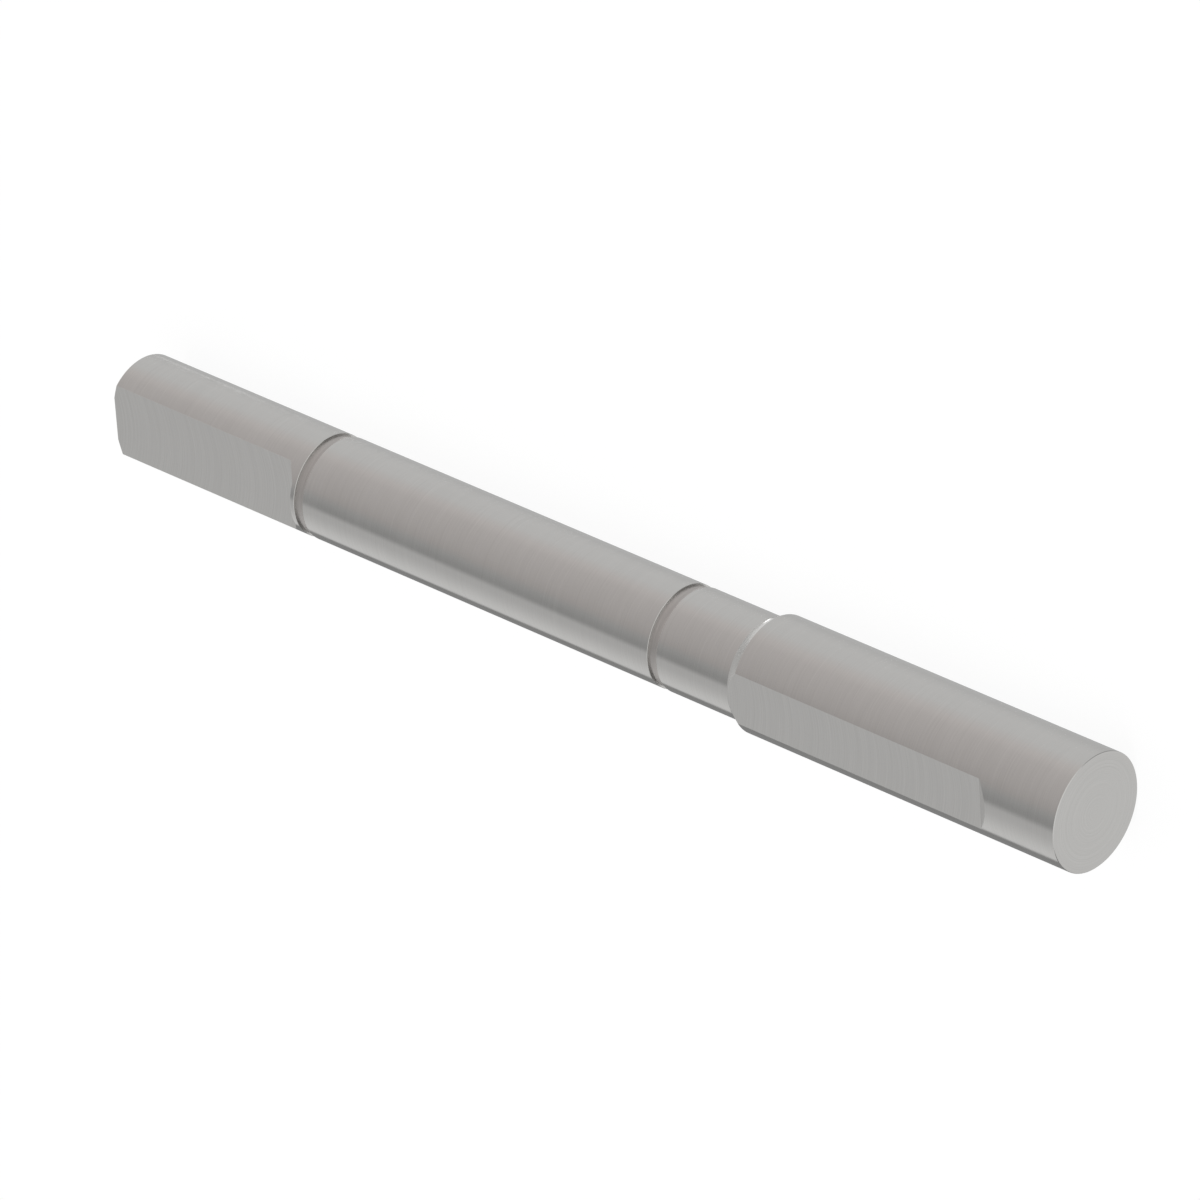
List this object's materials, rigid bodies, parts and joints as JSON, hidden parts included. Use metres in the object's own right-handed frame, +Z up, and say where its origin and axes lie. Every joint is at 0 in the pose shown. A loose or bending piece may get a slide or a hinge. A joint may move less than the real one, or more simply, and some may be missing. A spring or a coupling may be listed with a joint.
{
  "type": "stepped shaft",
  "caption": "Turned steel shaft with two diameters joined by a cone, two retaining-ring grooves, two milled flats on one side and a lead-in at the small end.",
  "frame": {"origin": "centre of the small end's face, on the shaft's axis", "axes": "+X along the axis towards the large end, +Z up and out of both milled flats; the shaft lies on its side as it rolls to rest"},
  "size_m": [0.1159, 0.0112, 0.0112],
  "materials": {
    "steel": "fine turned and ground satin"
  },
  "bodies": {
    "root": {"stepped_shaft": "steel"}
  },
  "joints": []
}
